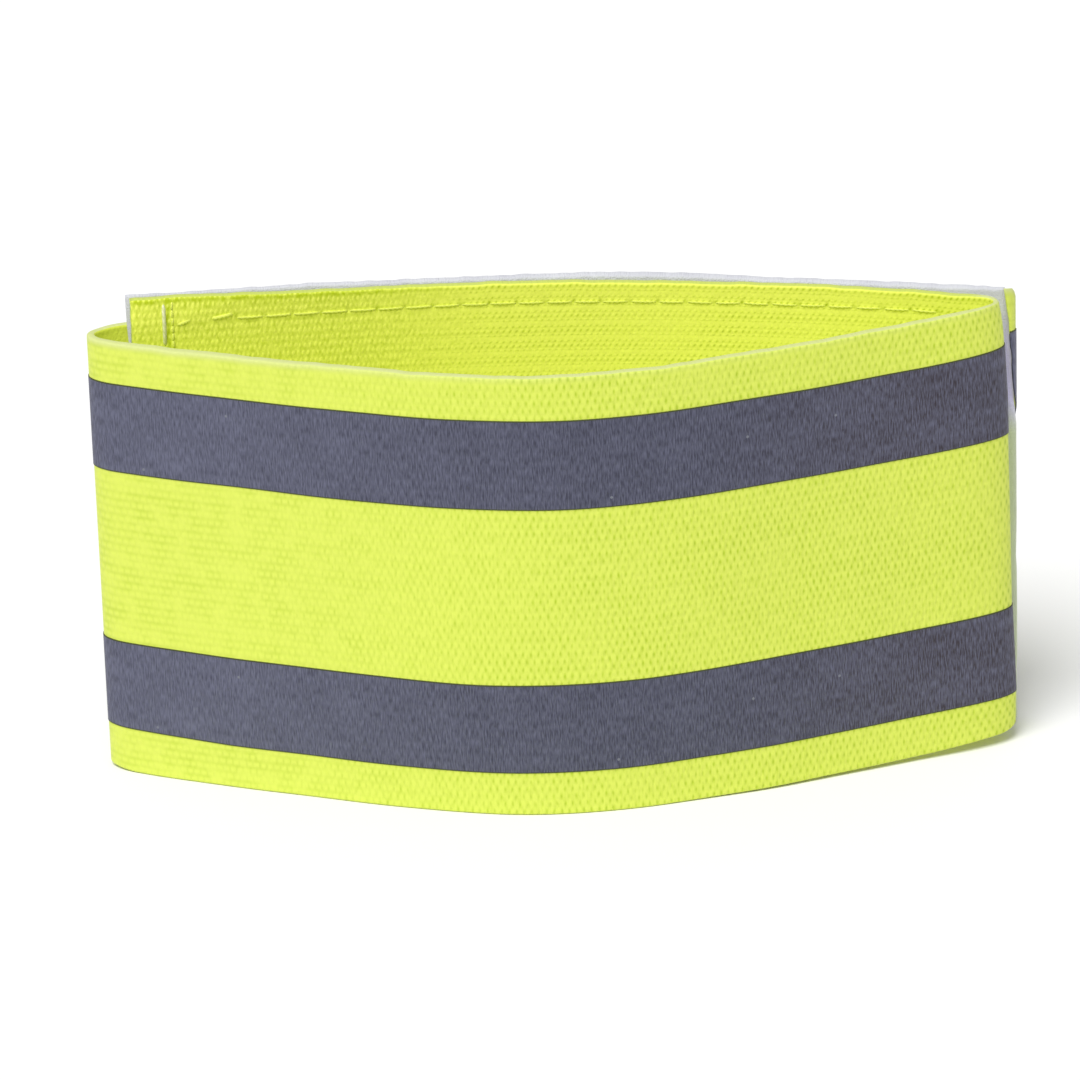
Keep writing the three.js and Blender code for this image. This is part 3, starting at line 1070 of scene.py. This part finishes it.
# A thread: twisted ply, dark between its strands as painted shade. Its map counts twists along it and round
# it.
def makeThread(name, lit, deep):
    material, shader, place = newCloth(name, thread["roughness"], Sheen_Weight=thread["sheen"])
    x, y, _ = splitPlace(place)
    turn = times(calc("ADD", x, y), 2 * np.pi)
    ply = calc("ABSOLUTE", calc("SINE", turn))
    colour = blendColours(minus(1.0, ply), lit, deep)
    finishMaterial(shader, colour, ply, thread["depth"])
    return material


# A row of stitches from hole to hole: s and up of both ends of each, and its radius.
def stitchRow(s, up, radius):
    s, up = np.broadcast_arrays(s, up)
    return np.stack([s[:-1], up[:-1], s[1:], up[1:], np.full(len(s) - 1, radius)], axis=1)


# Stitches as one mesh. Each goes straight from hole to hole, its height a flattened half sine, sunk
# so that its ends are in the cloth, with a six-sided section that narrows to them.
def stitchPiece(name, stitches, side, material):
    along, around, count = stitch["along"], stitch["around"], len(stitches)
    t = np.linspace(0, 1, along)[None, :]
    startS, startUp, stopS, stopUp, radius = (stitches[:, k : k + 1] for k in range(5))
    chance = np.random.default_rng(stitch["seed"])
    tilt = chance.uniform(-stitch["tilt"], stitch["tilt"], (count, 1)) * (t - 0.5)
    level = np.abs(stopUp - startUp) < stitch["level"]
    s = startS + (stopS - startS) * t + np.where(level, 0, tilt)
    up = startUp + (stopUp - startUp) * t + np.where(level, tilt, 0)
    arch = stitch["stands"] * np.sin(np.pi * t) ** stitch["flatness"] - stitch["sunk"]
    out = side * (webbing["outside"] + radius * arch)
    line = placeCloth(s, out, up)
    tangent = np.gradient(line, axis=1)
    tangent /= np.linalg.norm(tangent, axis=2)[..., None]
    normal = placeCloth(s, out + side * stitch["probe"], up) - line
    normal -= (normal * tangent).sum(axis=2)[..., None] * tangent
    normal /= np.linalg.norm(normal, axis=2)[..., None]
    across = np.cross(tangent, normal)
    turn = np.arange(around) / around * 2 * np.pi
    width = radius * np.clip(stitch["taper"] * np.minimum(t, 1 - t) + stitch["tip"], 0, 1)
    section = np.cos(turn)[:, None] * normal[:, :, None, :] + np.sin(turn)[:, None] * across[:, :, None, :]
    grid = line[:, :, None, :] + width[:, :, None, None] * section
    n, i, j = np.meshgrid(np.arange(count), np.arange(along - 1), np.arange(around), indexing="ij")
    a, b = (n * along + i) * around + j, (n * along + i) * around + (j + 1) % around
    walls = np.stack([a, b, b + around, a + around], axis=-1).reshape(-1, 4).tolist()
    start = np.arange(count)[:, None] * along * around
    caps = [start + np.arange(around)[::-1], start + (along - 1) * around + np.arange(around)]
    mapping = np.stack(np.broadcast_arrays(thread["twists"] * t[..., None], turn / (2 * np.pi)), axis=-1)
    mapping = np.broadcast_to(mapping, (count, along, around, 2))
    print("stitches:", name, count)
    return makeMesh(name, grid, walls + np.vstack(caps).tolist(), mapping, [material])


# A row of stitches down the inner end, from its top to the lower edge.
def uprightRow(place, pitch, radius):
    return stitchRow(place, np.arange(endSeam["top"], endSeam["bottom"], -pitch), radius)


# The rows near both edges of the inner layer, the small stitches at its end, and two slack ones.
def makeLongStitching(material):
    s = np.arange(seam["first"], seam["last"], seam["pitch"])
    top = seamHeight(s)
    rows = [stitchRow(s, top, seam["radius"]), stitchRow(s, webbing["width"] - top, seam["radius"])]
    rows.append(uprightRow(endSeam["dashesAt"], endSeam["dashPitch"], endSeam["dashRadius"]))
    loose = [endSeam["looseEnd"], endSeam["slack"]]
    return stitchPiece("stitchingLong", np.vstack([*rows, loose]), -1, material)


# The upright row of long stitches at the inner end.
def makeEndStitching(material):
    row = uprightRow(endSeam["upright"], endSeam["pitch"], endSeam["radius"])
    return stitchPiece("stitchingAtEnd", row, -1, material)


# A rectangle of stitches round the hook tape, on the outer face.
def makeHookStitching(material):
    bottom, top, pitch, radius = (hookSeam[key] for key in ("bottom", "top", "pitch", "radius"))
    start, stop = (lengthAt(bandLine, outerRows[row], noseAt) for row in hookTape["rows"])
    low, high = start + hookSeam["inset"], stop - hookSeam["inset"]
    along = np.linspace(low, high, round((high - low) / pitch) + 1)
    upward = np.linspace(bottom, top, round((top - bottom) / pitch) + 1)
    sides = [stitchRow(along, up, radius) for up in (bottom, top)]
    sides += [stitchRow(s, upward, radius) for s in (low, high)]
    return stitchPiece("stitchingHookTape", np.vstack(sides), 1, material)


def makeStitching():
    yellow, cream = (makeThread(colour + "Thread", *thread[colour]) for colour in ("yellow", "cream"))
    return [makeLongStitching(yellow), makeEndStitching(cream), makeHookStitching(yellow)]


# The pieces
webbingPiece = makeWebbing()
filmMaterial = makeFilm()
lowerStripe = makeFilmStripe("filmStripeLower", film["lower"], filmMaterial)
upperStripe = makeFilmStripe("filmStripeUpper", film["upper"], filmMaterial)
loopPiece = makeLoopTape()
hookPiece = makeHookTape()
stitching = makeStitching()

bandLength, tapeLength = bandLine["length"], loopTapeLine["length"] - loopTape["trim"]
hookWidth, hookLength = webbing["width"] - 2 * hookTape["inset"], hookStop - hookStart
withStitches, onWebbing = {"with_pieces": stitching}, {"rests_on": [webbingPiece]}
# piece, solid, slot, width and length, and what it goes with or rests on
for piece, solid, slot, width, length, beside in (
    (webbingPiece, "elastic_band", "webbing", webbing["width"], bandLength, withStitches),
    (lowerStripe, "reflective_stripe_lower", "film", film["width"], bandLength, onWebbing),
    (upperStripe, "reflective_stripe_upper", "film", film["width"], bandLength, onWebbing),
    (loopPiece, "loop_tape", "tape", webbing["width"], tapeLength, onWebbing),
    (hookPiece, "hook_tape", "tape", hookWidth, hookLength, onWebbing),
):
    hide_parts(solid)

# Floor, light and camera
studio = {
    "floor": {"Base_Color": screen(252, 252, 252), "Roughness": 0.9, "Specular_IOR_Level": 0.0},
    "floorSide": 4000.0,
    "world": 0.42,
    "towardLight": (-0.22, -0.46, 0.875),
    "lightDistance": 1500.0,
    "strength": 2.45,
    "disc": 34.0,  # degrees across
}


def makeFloor():
    half = studio["floorSide"] / 2
    places = np.array([[-half, -half, 0], [half, -half, 0], [half, half, 0], [-half, half, 0]])
    mesh = bpy.data.meshes.new("floor")
    mesh.from_pydata((places * mm).tolist(), [], [(0, 1, 2, 3)])
    mesh.materials.append(newMaterial("paleFloor", **studio["floor"])[0])
    addObject("floor", mesh)


# A world matrix from three axes as columns and a place in mm.
def placedAt(axes, place):
    matrix = np.eye(4)
    matrix[:3, :3], matrix[:3, 3] = axes, np.array(place) * mm
    return Matrix(matrix.tolist())


# A wide soft light from one side: a bright disc in the sky, whose local z axis points towards it.
def addSoftLight():
    lamp = bpy.data.lights.new("key", "SUN")
    lamp.energy, lamp.angle = studio["strength"], np.radians(studio["disc"])
    back = np.array(studio["towardLight"])
    back /= np.linalg.norm(back)
    right = np.cross([0, 0, 1], back)
    right /= np.linalg.norm(right)
    axes = np.stack([right, np.cross(back, right), back], axis=1)
    addObject("key", lamp).matrix_world = placedAt(axes, back * studio["lightDistance"])


view = {
    "place": (-2.103, -684.85, 302.6),
    "downward": 22.0,  # degrees
    "roll": 1.835,  # degrees that the picture is turned counterclockwise
    "lens": 228.85,
    "sensor": 36.0,
    "nearest": 0.01,  # metres, and the next one too
    "farthest": 20.0,
}


# The camera looks down along +Y, and its right and up axes are turned about the view by the roll.
def addCamera():
    camera = addObject("camera", bpy.data.cameras.new("camera"))
    down, roll = np.radians(view["downward"]), np.radians(view["roll"])
    right, up = np.array([1.0, 0, 0]), np.array([0, np.sin(down), np.cos(down)])
    back = np.array([0, -np.cos(down), np.sin(down)])
    turned = np.cos(roll) * right - np.sin(roll) * up
    axes = np.stack([turned, np.sin(roll) * right + np.cos(roll) * up, back], axis=1)
    camera.matrix_world = placedAt(axes, view["place"])
    camera.data.lens, camera.data.sensor_width = view["lens"], view["sensor"]
    camera.data.clip_start, camera.data.clip_end = view["nearest"], view["farthest"]
    bpy.context.scene.camera = camera


def addWorld():
    world = bpy.data.worlds.new("softRoom")
    bpy.context.scene.world = world
    world.use_nodes = True
    inputs = world.node_tree.nodes["Background"].inputs
    inputs["Color"].default_value = (1, 1, 1, 1)
    inputs["Strength"].default_value = studio["world"]


makeFloor()
addSoftLight()
addCamera()
addWorld()
bpy.context.scene.view_settings.view_transform = "Standard"
print("studio: light, floor and camera are in place")
